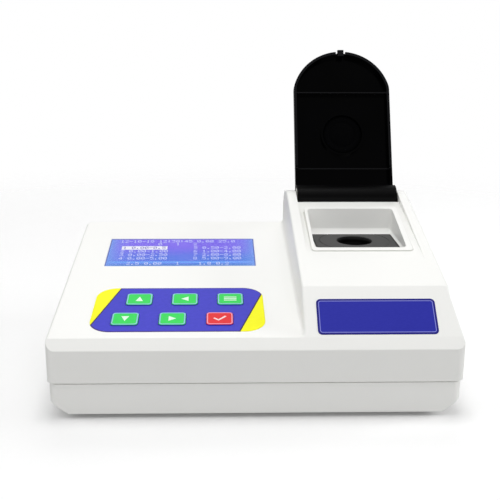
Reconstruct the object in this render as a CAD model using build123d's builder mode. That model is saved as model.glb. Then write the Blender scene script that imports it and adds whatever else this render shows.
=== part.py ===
from build123d import *
import os
from math import asin, cos, degrees, hypot, radians, sin, tan

# Bench meter with a sloping front panel at the left and a tower with a flip lid at the right.
# Millimetres. X runs to the right, Y to the back, Z up from the table.
# Distances called back are measured from the front face of the case.

# Case
case_width = 266.0
case_depth = 200.0
corner_radius = 6.0
wall = 2.8
foot_height = 3.0
tray_top = 23.4
parting_gap = 1.2
band_top = 46.5
edge_back = 5.5
edge_rise = 6.3
panel_angle = 8.4
band_radius = 1.2
panel_rim_radius = 2.0
tower_foot_radius = 2.4
tower_edge_radius = 1.6

# Tower
tower_left = 30.4
tower_right = 126.2
shoulder_height = 70.0
shoulder_lean = 1.2
nose_angle = 42.9
nose_length = 37.0
deck_angle = 14.65
crest_back = 168.0
tail_back = 189.0
tail_drop = 3.4
heel_drop = 13.0
tower_top_limit = 150.0
edge_pick = 0.8
edge_pick_gap = 0.05

# Lid and its hinge
recess_left = 37.9
recess_right = 118.9
lid_side_gap = 1.0
hinge_back = 171.7
hinge_height = 106.0
lid_lean = 25.2
recess_angle = 11.9
lid_length = 126.8
lid_arch_rise = 31.0
lid_shoulder_radius = 15.0
lid_thickness = 8.3
lid_wall = 2.2
lid_edge_radius = 2.6
rim_above_pivot = 3.2
rim_seat_gap = 0.3
barrel_gap = 0.4
barrel_wall = 2.3
bush_length = 6.0
bush_gap = 0.1
rod_radius = 2.0
rod_running_gap = 0.06
rod_hole_gap = 0.1
rod_bite = 5.0
plug_radius = 3.4
plug_depth = 1.4
plug_gap = 0.1
rib_thickness = 2.0
front_rib_at = 92.0
rear_rib_at = 28.0
front_rib_tip = 1.0
rear_rib_tip = 4.2
boss_at = 56.3
boss_radius = 17.6
boss_wall = 1.5
boss_height = 3.5
pad_thickness = 2.4
pad_gap = 0.3
tongue_width = 5.0
tongue_reach = 1.5
tongue_thickness = 2.4
notch_width = 1.5
notch_depth = 3.5

# Well and sample place
well_left = 44.1
well_right = 109.5
well_front = 81.6
well_rear = 138.9
well_corner = 3.0
well_floor_top = 84.8
well_floor = 2.5
bead_width = 4.0
bead_left_width = 2.2
cell_x = 77.7
cell_back = 115.9
cell_bore_radius = 12.75
deck_plate_width = 61.2
deck_plate_front = 85.5
deck_plate_rear = 135.0
deck_plate_thickness = 1.8
deck_plate_corner = 1.5
deck_hole_gap = 0.55
floor_hole_gap = 0.85
deck_ring_radius = 26.0
deck_ring_width = 0.5
deck_ring_depth = 0.3

# Cell holder and optics
holder_size = 46.0
holder_bottom = 30.0
cell_bottom = 34.0
holder_screw_spread = 39.0
holder_edge = 1.5
beam_height = 58.0
beam_radius = 2.0
pocket_radius = 4.2
pocket_depth = 7.0
optic_radius = 4.0
optic_thickness = 1.5
optic_gap = 0.3
lamp_radius = 2.5
lamp_flange_radius = 2.9
lamp_flange = 1.0
optic_board_size = 22.0
board_thickness = 1.6

# Display
window_x = -52.3
window_along = 133.0
window_width = 113.0
window_height = 51.5
window_thickness = 1.2
window_gap = 0.15
window_lip = 2.0
frame_width = 120.0
frame_height = 60.0
frame_depth = 6.2
frame_sheet = 1.0
glass_thickness = 4.4
glass_gap = 0.5
display_board_width = 134.0
display_board_height = 74.0
display_post_x = 127.0
display_post_y = 67.0
panel_post = 5.0

# Keypad
pad_x = -50.6
pad_along = 39.0
pad_width = 114.6
pad_height = 62.2
pad_corner = 14.0
overlay_thickness = 1.0
overlay_sunk = 0.8
overlay_gap = 0.15
key_width = 17.6
key_height = 16.6
key_corner = 2.6
key_gap = 0.3
key_proud = 0.9
key_travel = 0.5
key_flange = 1.2
key_flange_thickness = 1.0
key_flange_gap = 0.15
key_stem_width = 6.0
key_stem = 1.0
key_row_shift = -7.3
key_pitch_x = 31.0
key_row_gap = 28.0
key_first_x = -77.9
key_top_row_along = 52.2
switch_width = 6.0
switch_body = 2.5
plunger_width = 3.4
plunger = 0.7
plunger_gap = 0.1
key_board_width = 112.0
key_board_height = 57.0
key_post_x = 103.0
key_post_y = 49.0

# Name plate
plate_x = 77.7
plate_along = 14.6
plate_width = 77.4
plate_height = 25.7
plate_corner = 3.0
plate_thickness = 0.5
plate_sunk = 0.3
plate_gap = 0.1

# Lower tray
tray_inset = 1.2
tray_wall = 3.0
bevel_width = 12.0
bevel_height = 8.5
tongue_wall = 1.1
tongue_height = 4.0
tongue_gap = 0.3

# Case screws, feet and bosses
boss_outer = 4.5
boss_side_inset = 15.0
boss_front_inset = 16.0
boss_meet = 16.0
pilot_radius = 1.6
pilot_depth = 12.0
screw_radius = 1.5
screw_hole_radius = 1.9
screw_head_radius = 3.1
screw_head = 2.2
screw_pocket_radius = 3.5
screw_pocket_top = 10.0
screw_length = 15.0
foot_radius = 8.0
foot_seat = 1.0
foot_seat_gap = 0.1
foot_side_inset = 29.0
foot_front_inset = 24.0
foot_chamfer = 0.8

# Main board
board_x = -42.0
board_rear_gap = 8.0
board_width = 120.0
board_length = 132.0
board_under = 9.0
board_screw_inset = 6.0
standoff_radius = 3.5
small_head_radius = 2.6
small_head = 1.6

# Power module
module_x = 72.0
module_back = 162.0
module_width = 72.0
module_length = 42.0
module_height = 24.0
module_ear = 6.0
module_ear_thickness = 3.0
module_edge = 2.0
module_screw_gap = 0.6

# Rear fittings
inlet_x = 98.0
fitting_height = 54.0
inlet_flange_width = 34.0
inlet_flange_height = 27.0
inlet_flange = 2.0
inlet_body_width = 27.2
inlet_body_height = 19.8
inlet_body_depth = 22.0
inlet_mouth_width = 24.2
inlet_mouth_height = 16.2
inlet_mouth_depth = 17.0
inlet_mouth_chamfer = 4.5
blade_thickness = 2.0
blade_height = 4.0
blade_length = 14.0
blade_tail = 6.0
blade_spread = 14.0
blade_drop = 2.0
fitting_corner = 2.0
fitting_gap = 0.2
switch_x = 58.0
switch_flange_width = 17.0
switch_flange_height = 24.0
switch_flange = 1.8
switch_frame_width = 13.4
switch_frame_height = 20.0
switch_frame_depth = 14.0
switch_mouth_width = 11.2
switch_mouth_height = 17.6
switch_mouth_depth = 11.0
rocker_tilt = 8.0
rocker_half = 8.1
rocker_width = 10.6
rocker_rise = 3.6
rocker_crown = 1.2
rocker_sink = 4.0
rocker_pivot_depth = 2.0
rocker_stub_radius = 1.2
rocker_stub_gap = 0.05
port_x = -20.0
port_width = 12.0
port_height = 10.8
port_length = 16.0
port_proud = 0.3
port_mouth_width = 8.5
port_mouth_height = 7.8
port_mouth_depth = 9.0
port_mouth_chamfer = 1.8
port_tongue_width = 5.6
port_tongue_height = 3.2
port_tongue_length = 8.0

# Places that follow from the sizes
lean_sin = sin(radians(lid_lean))
lean_cos = cos(radians(lid_lean))
barrel_radius = lid_thickness + rim_above_pivot
foot_back = hinge_back + rim_above_pivot * lean_cos
foot_up = hinge_height - rim_above_pivot * lean_sin
tip_reach = (lid_length - lid_edge_radius) * lean_sin
open_reach = foot_back + tip_reach + (lid_thickness - lid_edge_radius) * lean_cos + lid_edge_radius
front_y = -open_reach / 2
cover_bottom = tray_top + parting_gap
panel_slope = tan(radians(panel_angle))
panel_start = (edge_back, band_top + edge_rise)
panel_rear_height = panel_start[1] + (case_depth - edge_back) * panel_slope
nose_top = (
    panel_start[0] + nose_length * cos(radians(nose_angle)),
    panel_start[1] + nose_length * sin(radians(nose_angle)),
)
crest = (crest_back, nose_top[1] + (crest_back - nose_top[0]) * tan(radians(deck_angle)))
tail = (tail_back, crest[1] - tail_drop)
heel = (case_depth, tail[1] - heel_drop)
lid_width = recess_right - recess_left - 2 * lid_side_gap
lid_x = (recess_left + recess_right) / 2
seat_drop = rim_above_pivot - rim_seat_gap
seat_point = (
    hinge_back - seat_drop * sin(radians(recess_angle)),
    hinge_height + seat_drop * cos(radians(recess_angle)),
)
trough_radius = barrel_radius + barrel_gap
board_back = case_depth - board_rear_gap - board_length / 2
deck_hole_radius = cell_bore_radius + deck_hole_gap
floor_hole_radius = cell_bore_radius + floor_hole_gap
far = 400.0


def side_plane(x):
    # Plane seen from the right: its x is the distance back, its y is the height.
    return Plane(origin=(x, front_y, 0), x_dir=(0, 1, 0), z_dir=(1, 0, 0))


def level_plane(height):
    return Plane(origin=(0, front_y, height))


def front_plane(back):
    # Upright plane that faces the rear: its x is -X, its y is the height.
    return Plane(origin=(0, front_y + back, 0), x_dir=(-1, 0, 0), z_dir=(0, 1, 0))


def slope_plane(angle, depth):
    # Plane that starts at the panel's front edge and climbs back at an angle, sunk by a depth.
    down = radians(angle)
    return Plane(
        origin=(
            0,
            front_y + panel_start[0] + depth * sin(down),
            panel_start[1] - depth * cos(down),
        ),
        x_dir=(1, 0, 0),
        z_dir=(0, -sin(down), cos(down)),
    )


def panel_plane(depth=0.0):
    return slope_plane(panel_angle, depth)


def lid_plane(height=0.0):
    # Rim plane of the open lid, seen from behind: its y runs from the hinge to the tip.
    return Plane(
        origin=(
            lid_x,
            front_y + foot_back + height * lean_cos,
            foot_up - height * lean_sin,
        ),
        x_dir=(-1, 0, 0),
        z_dir=(0, lean_cos, -lean_sin),
    )


def seat_height(back):
    # Height of the recess floor, which is parallel to the rim of the closed lid.
    return seat_point[1] + (back - seat_point[0]) * tan(radians(recess_angle))


def tower_edges(shape):
    # Side edges and cross edges of the tower's four top faces.
    spine = [panel_start, nose_top, crest, tail, heel]
    found = ShapeList()
    for start, end in zip(spine, spine[1:]):
        back = start[0] + (end[0] - start[0]) * edge_pick
        height = start[1] + (end[1] - start[1]) * edge_pick
        for x in (tower_left, tower_right):
            found.append(shape.edges().sort_by_distance((x, front_y + back, height))[0])
    for back, height in spine[1:]:
        middle = ((tower_left + tower_right) / 2, front_y + back, height)
        found.append(shape.edges().sort_by_distance(middle)[0])
    return found


def case_form(inset, bottom):
    # Outline of the upper case, or of its hollow when it is inset by the wall.
    with BuildPart() as form:
        with BuildSketch(side_plane(-case_width / 2)) as low:
            with BuildLine():
                Polyline(
                    (0, bottom - far),
                    (0, band_top),
                    panel_start,
                    (case_depth, panel_rear_height),
                    (case_depth, bottom - far),
                    close=True,
                )
            make_face()
            if inset:
                offset(amount=-inset, kind=Kind.INTERSECTION)
            else:
                fillet(low.vertices().sort_by_distance((0, band_top))[0], radius=band_radius)
        extrude(amount=case_width)
        with BuildSketch(side_plane(tower_left + inset)) as high:
            with BuildLine():
                Polyline(
                    (0, bottom - far),
                    (0, band_top),
                    panel_start,
                    nose_top,
                    crest,
                    tail,
                    heel,
                    (case_depth, bottom - far),
                    close=True,
                )
            make_face()
            if inset:
                offset(amount=-inset, kind=Kind.INTERSECTION)
            else:
                fillet(high.vertices().sort_by_distance((0, band_top))[0], radius=band_radius)
        extrude(amount=case_width / 2 - tower_left - inset)
        with BuildSketch(front_plane(case_depth)):
            with BuildLine():
                Polyline(
                    (-case_width / 2, bottom - far),
                    (-case_width / 2, band_top),
                    (-tower_right - shoulder_lean, shoulder_height),
                    (-tower_right, crest[1]),
                    (-tower_right, tower_top_limit),
                    (case_width / 2, tower_top_limit),
                    (case_width / 2, bottom - far),
                    close=True,
                )
            make_face()
            if inset:
                offset(amount=-inset, kind=Kind.INTERSECTION)
        extrude(amount=-case_depth, mode=Mode.INTERSECT)
        with BuildSketch(level_plane(bottom)):
            with Locations((0, case_depth / 2)):
                RectangleRounded(
                    case_width - 2 * inset,
                    case_depth - 2 * inset,
                    corner_radius - inset,
                )
        extrude(amount=tower_top_limit - bottom, mode=Mode.INTERSECT)
    return form.part


def rounded_case(bottom):
    # The outline with its foot, the rim of the panel and the tower's edges rounded.
    shape = case_form(0, bottom)
    middle_y = front_y + case_depth / 2
    middle_height = (panel_start[1] + panel_rear_height) / 2
    foot = shape.edges().sort_by_distance((tower_left, middle_y, middle_height))[0]
    shape = shape.fillet(tower_foot_radius, [foot])
    panel_middle = ((tower_left - case_width / 2) / 2, middle_y, middle_height)
    rim = shape.faces().sort_by_distance(panel_middle)[0].edges()
    rim = rim.filter_by_position(
        Axis.Y, front_y + edge_back + edge_pick_gap, front_y + case_depth
    )
    rim = rim.filter_by_position(
        Axis.X, -case_width / 2, tower_left - tower_foot_radius - edge_pick_gap
    )
    shape = shape.fillet(panel_rim_radius, rim)
    return shape.fillet(tower_edge_radius, tower_edges(shape))


def boss_places():
    side = case_width / 2 - boss_side_inset
    return [
        (x, back)
        for x in (-side, side)
        for back in (boss_front_inset, case_depth - boss_front_inset)
    ]


def key_places():
    # Names and centres of the keys on the panel: across, and along from its front edge.
    top = ("key_up", "key_left", "key_select")
    low = ("key_down", "key_right", "key_confirm")
    places = {}
    for row, names in enumerate((top, low)):
        for column, name in enumerate(names):
            places[name] = (
                key_first_x + column * key_pitch_x + row * key_row_shift,
                key_top_row_along - row * key_row_gap,
            )
    return places


def save(part, name):
    part.label = name
    export_step(part, f"parts/{name}.step")


os.makedirs("parts", exist_ok=True)

# Hollow of the upper case, which leaves the well, the lid's seat, the hinge block and the bosses
with BuildPart() as hollow:
    add(case_form(wall, cover_bottom))
    with BuildSketch(side_plane(tower_left)):
        with BuildLine():
            Polyline(
                (edge_back, seat_height(edge_back) - well_floor),
                (case_depth, seat_height(case_depth) - well_floor),
                (case_depth, tower_top_limit),
                (edge_back, tower_top_limit),
                close=True,
            )
        make_face()
    extrude(amount=case_width / 2 - tower_left, mode=Mode.SUBTRACT)
    with BuildSketch(level_plane(hinge_height - trough_radius - well_floor)):
        with Locations((lid_x, hinge_back)):
            Rectangle(case_width / 2, 2 * (trough_radius + well_floor))
        with Locations((lid_x, case_depth)):
            Rectangle(case_width / 2, 2 * (case_depth - hinge_back))
    extrude(amount=far, mode=Mode.SUBTRACT)
    with BuildSketch(level_plane(well_floor_top - well_floor)):
        with Locations(((well_left + well_right) / 2, (well_front + well_rear) / 2)):
            Rectangle(
                well_right - well_left + 2 * well_floor,
                well_rear - well_front + 2 * well_floor,
            )
    extrude(amount=far, mode=Mode.SUBTRACT)
    with BuildSketch(level_plane(cover_bottom)):
        with Locations(*boss_places()):
            Circle(boss_outer)
    extrude(amount=far, mode=Mode.SUBTRACT)

# Recess that the closed lid sinks into, with the trough that its barrel turns in
with BuildPart() as recess:
    rear_wall = (
        hinge_back + trough_radius * lean_cos,
        hinge_height - trough_radius * lean_sin,
    )
    with BuildSketch(side_plane(recess_left)):
        with BuildLine():
            Polyline(
                (edge_back, seat_height(edge_back)),
                seat_point,
                rear_wall,
                (rear_wall[0] + far * lean_sin, rear_wall[1] + far * lean_cos),
                (edge_back, rear_wall[1] + far * lean_cos),
                close=True,
            )
        make_face()
        with Locations((hinge_back, hinge_height)):
            Circle(trough_radius)
    extrude(amount=recess_right - recess_left)
    with BuildSketch(level_plane(0)):
        left = well_left - bead_left_width
        right = well_right + bead_width
        front = well_front - bead_width
        rear = well_rear + bead_width
        with Locations(((left + right) / 2, (front + rear) / 2)):
            RectangleRounded(right - left, rear - front, well_corner)
    extrude(amount=far, mode=Mode.SUBTRACT)

# Upper case cover: sloping panel, tower with two ridges, lid recess, beaded well and bosses
with BuildPart() as top_cover:
    add(rounded_case(cover_bottom))
    add(hollow.part, mode=Mode.SUBTRACT)
    add(recess.part, mode=Mode.SUBTRACT)
    with BuildSketch(level_plane(well_floor_top)):
        with Locations(((well_left + well_right) / 2, (well_front + well_rear) / 2)):
            RectangleRounded(well_right - well_left, well_rear - well_front, well_corner)
    extrude(amount=far, mode=Mode.SUBTRACT)
    with BuildSketch(level_plane(well_floor_top - well_floor)):
        with Locations((cell_x, cell_back)):
            Circle(floor_hole_radius)
            with GridLocations(holder_screw_spread, 0, 2, 1):
                Circle(screw_hole_radius)
    extrude(amount=well_floor, mode=Mode.SUBTRACT)
    with BuildSketch(level_plane(well_floor_top - small_head)):
        with Locations((cell_x, cell_back)):
            with GridLocations(holder_screw_spread, 0, 2, 1):
                Circle(small_head_radius + foot_seat_gap)
    extrude(amount=small_head, mode=Mode.SUBTRACT)
    with BuildSketch(level_plane(boss_meet)):
        with Locations(*boss_places()):
            Circle(boss_outer)
    extrude(amount=cover_bottom - boss_meet + parting_gap)
    with BuildSketch(level_plane(boss_meet)):
        with Locations(*boss_places()):
            Circle(pilot_radius)
    extrude(amount=pilot_depth, mode=Mode.SUBTRACT)
    with BuildSketch(panel_plane()):
        with Locations((window_x, window_along)):
            Rectangle(window_width, window_height)
    extrude(amount=-window_thickness, mode=Mode.SUBTRACT)
    with BuildSketch(panel_plane()):
        with Locations((window_x, window_along)):
            Rectangle(window_width - 2 * window_lip, window_height - 2 * window_lip)
    extrude(amount=-2 * wall, mode=Mode.SUBTRACT)
    with BuildSketch(panel_plane()):
        with Locations((pad_x, pad_along)):
            RectangleRounded(pad_width, pad_height, pad_corner)
    extrude(amount=-overlay_sunk, mode=Mode.SUBTRACT)
    with BuildSketch(panel_plane()):
        with Locations(*key_places().values()):
            RectangleRounded(key_width + 2 * key_gap, key_height + 2 * key_gap, key_corner)
    extrude(amount=-2 * wall, mode=Mode.SUBTRACT)
    with BuildSketch(panel_plane(wall)):
        with Locations((window_x, window_along)):
            with GridLocations(display_post_x, display_post_y, 2, 2):
                Rectangle(panel_post, panel_post)
    extrude(amount=-frame_depth)
    key_board_depth = (
        wall
        + key_flange_gap
        + key_flange_thickness
        + key_stem
        + key_travel
        + plunger_gap
        + plunger
        + switch_body
    )
    with BuildSketch(panel_plane(wall)):
        with Locations((pad_x, pad_along)):
            with GridLocations(key_post_x, key_post_y, 2, 2):
                Rectangle(panel_post, panel_post)
    extrude(amount=wall - key_board_depth)
    with BuildSketch(slope_plane(nose_angle, 0)):
        with Locations((plate_x, plate_along)):
            RectangleRounded(plate_width, plate_height, plate_corner)
    extrude(amount=-plate_sunk, mode=Mode.SUBTRACT)
    with BuildSketch(side_plane(recess_left - rod_bite)):
        with Locations((hinge_back, hinge_height)):
            Circle(rod_radius + rod_hole_gap)
    extrude(amount=case_width / 2, mode=Mode.SUBTRACT)
    with BuildSketch(side_plane(tower_right - plug_depth)):
        with Locations((hinge_back, hinge_height)):
            Circle(plug_radius + plug_gap)
    extrude(amount=case_width / 2, mode=Mode.SUBTRACT)
    with BuildSketch(front_plane(case_depth)):
        with Locations((-inlet_x, fitting_height)):
            Rectangle(inlet_body_width + 2 * fitting_gap, inlet_body_height + 2 * fitting_gap)
        with Locations((-switch_x, fitting_height)):
            Rectangle(switch_frame_width + 2 * fitting_gap, switch_frame_height + 2 * fitting_gap)
    extrude(amount=-2 * wall, mode=Mode.SUBTRACT)
save(top_cover.part, "top_cover")


def tray_form(inset, bottom):
    # Outline of the tray, or of its hollow, with the bevels along its lower side edges.
    half = case_width / 2 - tray_inset
    with BuildPart() as form:
        with BuildSketch(front_plane(case_depth)):
            with BuildLine():
                Polyline(
                    (-half, far),
                    (-half, foot_height + bevel_height),
                    (-half + bevel_width, foot_height),
                    (half - bevel_width, foot_height),
                    (half, foot_height + bevel_height),
                    (half, far),
                    close=True,
                )
            make_face()
            if inset:
                offset(amount=-inset, kind=Kind.INTERSECTION)
        extrude(amount=-case_depth)
        with BuildSketch(level_plane(bottom)):
            with Locations((0, case_depth / 2)):
                RectangleRounded(
                    2 * (half - inset),
                    case_depth - 2 * (tray_inset + inset),
                    corner_radius - inset,
                )
        extrude(amount=tray_top - bottom, mode=Mode.INTERSECT)
    return form.part


def foot_places():
    side = case_width / 2 - foot_side_inset
    return [
        (x, back)
        for x in (-side, side)
        for back in (foot_front_inset, case_depth - foot_front_inset)
    ]


# Lower tray: floor, bevelled sides, tongue inside the parting gap, standoffs and screw bosses
floor_top = foot_height + tray_wall
with BuildPart() as base_tray:
    add(tray_form(0, foot_height))
    add(tray_form(tray_wall, floor_top), mode=Mode.SUBTRACT)
    with BuildSketch(level_plane(tray_top - tongue_height)):
        with Locations((0, case_depth / 2)):
            outer = wall + tongue_gap
            RectangleRounded(case_width - 2 * outer, case_depth - 2 * outer, corner_radius - outer)
            inner = outer + tongue_wall
            RectangleRounded(
                case_width - 2 * inner,
                case_depth - 2 * inner,
                corner_radius - inner,
                mode=Mode.SUBTRACT,
            )
    extrude(amount=2 * tongue_height)
    with BuildSketch(level_plane(floor_top)):
        with Locations(*boss_places()):
            Circle(boss_outer)
    extrude(amount=boss_meet - floor_top)
    with BuildSketch(level_plane(foot_height)):
        with Locations(*boss_places()):
            Circle(screw_hole_radius)
    extrude(amount=boss_meet, mode=Mode.SUBTRACT)
    with BuildSketch(level_plane(foot_height)):
        with Locations(*boss_places()):
            Circle(screw_pocket_radius)
    extrude(amount=screw_pocket_top - foot_height, mode=Mode.SUBTRACT)
    with BuildSketch(level_plane(foot_height)):
        with Locations(*foot_places()):
            Circle(foot_radius + foot_seat_gap)
    extrude(amount=foot_seat, mode=Mode.SUBTRACT)
    with BuildSketch(level_plane(floor_top)):
        with Locations((board_x, board_back)):
            with GridLocations(
                board_width - 2 * board_screw_inset,
                board_length - 2 * board_screw_inset,
                2,
                2,
            ):
                RegularPolygon(standoff_radius, side_count=6)
                Circle(pilot_radius, mode=Mode.SUBTRACT)
    extrude(amount=board_under - floor_top)
    with BuildSketch(level_plane(floor_top)):
        with Locations((module_x, module_back)):
            with GridLocations(module_width + module_ear, 0, 2, 1):
                Circle(pilot_radius)
    extrude(amount=module_screw_gap - tray_wall, mode=Mode.SUBTRACT)
    with BuildSketch(front_plane(case_depth)):
        port_middle = board_under + board_thickness + port_height / 2
        with Locations((-port_x, port_middle)):
            Rectangle(port_width + 2 * fitting_gap, port_height + 2 * fitting_gap)
    extrude(amount=-2 * tray_wall, mode=Mode.SUBTRACT)
save(base_tray.part, "base_tray")

# Four rubber feet, sunk a little into the tray
with BuildPart() as rubber_feet:
    with BuildSketch(level_plane(0)):
        with Locations(*foot_places()):
            Circle(foot_radius)
    extrude(amount=foot_height + foot_seat)
    chamfer(rubber_feet.edges().group_by(Axis.Z)[0], length=foot_chamfer)
save(rubber_feet.part, "rubber_feet")

# Four case screws, up through the tray into the cover
with BuildPart() as case_screws:
    with BuildSketch(level_plane(screw_pocket_top - screw_head)):
        with Locations(*boss_places()):
            Circle(screw_head_radius)
    extrude(amount=screw_head)
    with BuildSketch(level_plane(screw_pocket_top)):
        with Locations(*boss_places()):
            Circle(screw_radius)
    extrude(amount=screw_length)
save(case_screws.part, "case_screws")

# Display window, flush in the panel
with BuildPart() as display_window:
    with BuildSketch(panel_plane(window_thickness)):
        with Locations((window_x, window_along)):
            Rectangle(window_width - 2 * window_gap, window_height - 2 * window_gap)
    extrude(amount=window_thickness)
save(display_window.part, "display_window")

# Metal frame of the display, open above and below the glass
with BuildPart() as display_frame:
    with BuildSketch(panel_plane(wall)):
        with Locations((window_x, window_along)):
            Rectangle(frame_width, frame_height)
            Rectangle(
                window_width - 2 * window_lip,
                window_height - 2 * window_lip,
                mode=Mode.SUBTRACT,
            )
    extrude(amount=-frame_sheet)
    with BuildSketch(panel_plane(wall + frame_sheet)):
        with Locations((window_x, window_along)):
            Rectangle(frame_width, frame_height)
            Rectangle(
                frame_width - 2 * frame_sheet,
                frame_height - 2 * frame_sheet,
                mode=Mode.SUBTRACT,
            )
    extrude(amount=frame_sheet - frame_depth)
save(display_frame.part, "display_frame")

# Display glass, under the frame's sheet
with BuildPart() as display_glass:
    with BuildSketch(panel_plane(wall + frame_sheet)):
        with Locations((window_x, window_along)):
            Rectangle(
                frame_width - 2 * (frame_sheet + glass_gap),
                frame_height - 2 * (frame_sheet + glass_gap),
            )
    extrude(amount=-glass_thickness)
save(display_glass.part, "display_glass")

# Circuit board behind the display
with BuildPart() as display_board:
    with BuildSketch(panel_plane(wall + frame_depth)):
        with Locations((window_x, window_along)):
            Rectangle(display_board_width, display_board_height)
    extrude(amount=-board_thickness)
save(display_board.part, "display_board")

# Keypad overlay, sunk in the panel, with an opening for each key
with BuildPart() as keypad_overlay:
    with BuildSketch(panel_plane(overlay_sunk)):
        with Locations((pad_x, pad_along)):
            RectangleRounded(
                pad_width - 2 * overlay_gap,
                pad_height - 2 * overlay_gap,
                pad_corner - overlay_gap,
            )
        with Locations(*key_places().values()):
            RectangleRounded(
                key_width + 2 * key_gap,
                key_height + 2 * key_gap,
                key_corner,
                mode=Mode.SUBTRACT,
            )
    extrude(amount=overlay_thickness)
save(keypad_overlay.part, "keypad_overlay")

# Six keys, each with a flange under the panel and a stem that stands over its switch
for key_name, key_place in key_places().items():
    with BuildPart() as key:
        with BuildSketch(panel_plane(wall + key_flange_gap)):
            with Locations(key_place):
                RectangleRounded(key_width, key_height, key_corner - key_gap)
        extrude(amount=wall + key_flange_gap + key_proud)
        top_edges = key.faces().sort_by(SortBy.AREA)[-2:].sort_by(Axis.Z)[-1].edges()
        chamfer(top_edges, length=key_gap)
        with BuildSketch(panel_plane(wall + key_flange_gap)):
            with Locations(key_place):
                Rectangle(key_width + 2 * key_flange, key_height + 2 * key_flange)
        extrude(amount=-key_flange_thickness)
        with BuildSketch(panel_plane(wall + key_flange_gap + key_flange_thickness)):
            with Locations(key_place):
                Rectangle(key_stem_width, key_stem_width)
        extrude(amount=-key_stem)
    save(key.part, key_name)

# Key board with its six push switches
with BuildPart() as key_board:
    with BuildSketch(panel_plane(key_board_depth)):
        with Locations((pad_x, pad_along)):
            Rectangle(key_board_width, key_board_height)
    extrude(amount=-board_thickness)
save(key_board.part, "key_board")

with BuildPart() as key_switches:
    with BuildSketch(panel_plane(key_board_depth)):
        with Locations(*key_places().values()):
            Rectangle(switch_width, switch_width)
    extrude(amount=switch_body)
    with BuildSketch(panel_plane(key_board_depth - switch_body)):
        with Locations(*key_places().values()):
            Rectangle(plunger_width, plunger_width)
    extrude(amount=plunger)
save(key_switches.part, "key_switches")

# Name plate on the tower's nose
with BuildPart() as name_plate:
    with BuildSketch(slope_plane(nose_angle, plate_sunk)):
        with Locations((plate_x, plate_along)):
            RectangleRounded(
                plate_width - 2 * plate_gap,
                plate_height - 2 * plate_gap,
                plate_corner - plate_gap,
            )
    extrude(amount=plate_thickness)
save(name_plate.part, "name_plate")

# Deck plate at the bottom of the well, with the sample hole and an engraved ring
with BuildPart() as deck_plate:
    with BuildSketch(level_plane(well_floor_top)):
        with Locations((cell_x, (deck_plate_front + deck_plate_rear) / 2)):
            RectangleRounded(
                deck_plate_width,
                deck_plate_rear - deck_plate_front,
                deck_plate_corner,
            )
        with Locations((cell_x, cell_back)):
            Circle(deck_hole_radius, mode=Mode.SUBTRACT)
    extrude(amount=deck_plate_thickness)
    with BuildSketch(level_plane(well_floor_top + deck_plate_thickness)):
        with Locations((cell_x, cell_back)):
            Circle(deck_ring_radius + deck_ring_width / 2)
            Circle(deck_ring_radius - deck_ring_width / 2, mode=Mode.SUBTRACT)
    extrude(amount=-deck_ring_depth, mode=Mode.SUBTRACT)
save(deck_plate.part, "deck_plate")

# Cell holder under the well's floor, with the sample bore and a pocket each side for the optics
holder_top = well_floor_top - well_floor
with BuildPart() as cell_holder:
    with BuildSketch(level_plane(holder_bottom)):
        with Locations((cell_x, cell_back)):
            Rectangle(holder_size, holder_size)
    extrude(amount=holder_top - holder_bottom)
    chamfer(cell_holder.edges().filter_by(Axis.Z), length=holder_edge)
    with BuildSketch(level_plane(cell_bottom)):
        with Locations((cell_x, cell_back)):
            Circle(cell_bore_radius)
    extrude(amount=holder_top - cell_bottom, mode=Mode.SUBTRACT)
    with BuildSketch(level_plane(holder_top)):
        with Locations((cell_x, cell_back)):
            with GridLocations(holder_screw_spread, 0, 2, 1):
                Circle(pilot_radius)
    extrude(amount=-pilot_depth, mode=Mode.SUBTRACT)
    with BuildSketch(side_plane(cell_x - holder_size / 2)):
        with Locations((cell_back, beam_height)):
            Circle(beam_radius)
    extrude(amount=holder_size, mode=Mode.SUBTRACT)
    with BuildSketch(side_plane(cell_x - holder_size / 2)):
        with Locations((cell_back, beam_height)):
            Circle(pocket_radius)
    extrude(amount=pocket_depth, mode=Mode.SUBTRACT)
    with BuildSketch(side_plane(cell_x + holder_size / 2)):
        with Locations((cell_back, beam_height)):
            Circle(pocket_radius)
    extrude(amount=-pocket_depth, mode=Mode.SUBTRACT)
save(cell_holder.part, "cell_holder")

# Two screws that hang the cell holder from the well's floor, hidden by the deck plate
with BuildPart() as holder_screws:
    with BuildSketch(level_plane(well_floor_top)):
        with Locations((cell_x, cell_back)):
            with GridLocations(holder_screw_spread, 0, 2, 1):
                Circle(small_head_radius)
    extrude(amount=-small_head)
    with BuildSketch(level_plane(well_floor_top - small_head)):
        with Locations((cell_x, cell_back)):
            with GridLocations(holder_screw_spread, 0, 2, 1):
                Circle(screw_radius)
    extrude(amount=small_head - pilot_depth)
save(holder_screws.part, "holder_screws")


def optic_board(x, side):
    # Small board against one side of the cell holder; side is -1 for left and 1 for right.
    with BuildPart() as board:
        with BuildSketch(side_plane(x)):
            with Locations((cell_back, beam_height)):
                Rectangle(optic_board_size, optic_board_size)
        extrude(amount=side * board_thickness)
        chamfer(board.edges().filter_by(Axis.X), length=board_thickness)
    return board.part


def optic_disc(x, side, radius, thickness):
    with BuildPart() as disc:
        with BuildSketch(side_plane(x)):
            with Locations((cell_back, beam_height)):
                Circle(radius)
        extrude(amount=side * thickness)
    return disc.part


holder_left = cell_x - holder_size / 2
holder_right = cell_x + holder_size / 2
save(optic_board(holder_left, -1), "lamp_board")
save(optic_board(holder_right, 1), "sensor_board")
lens_x = holder_left + pocket_depth
save(optic_disc(lens_x, -1, optic_radius, optic_thickness), "lamp_lens")
filter_x = holder_right - pocket_depth
save(optic_disc(filter_x, 1, optic_radius, optic_thickness), "light_filter")
sensor_length = pocket_depth - optic_thickness - optic_gap
save(optic_disc(holder_right, -1, optic_radius, sensor_length), "light_sensor")

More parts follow.
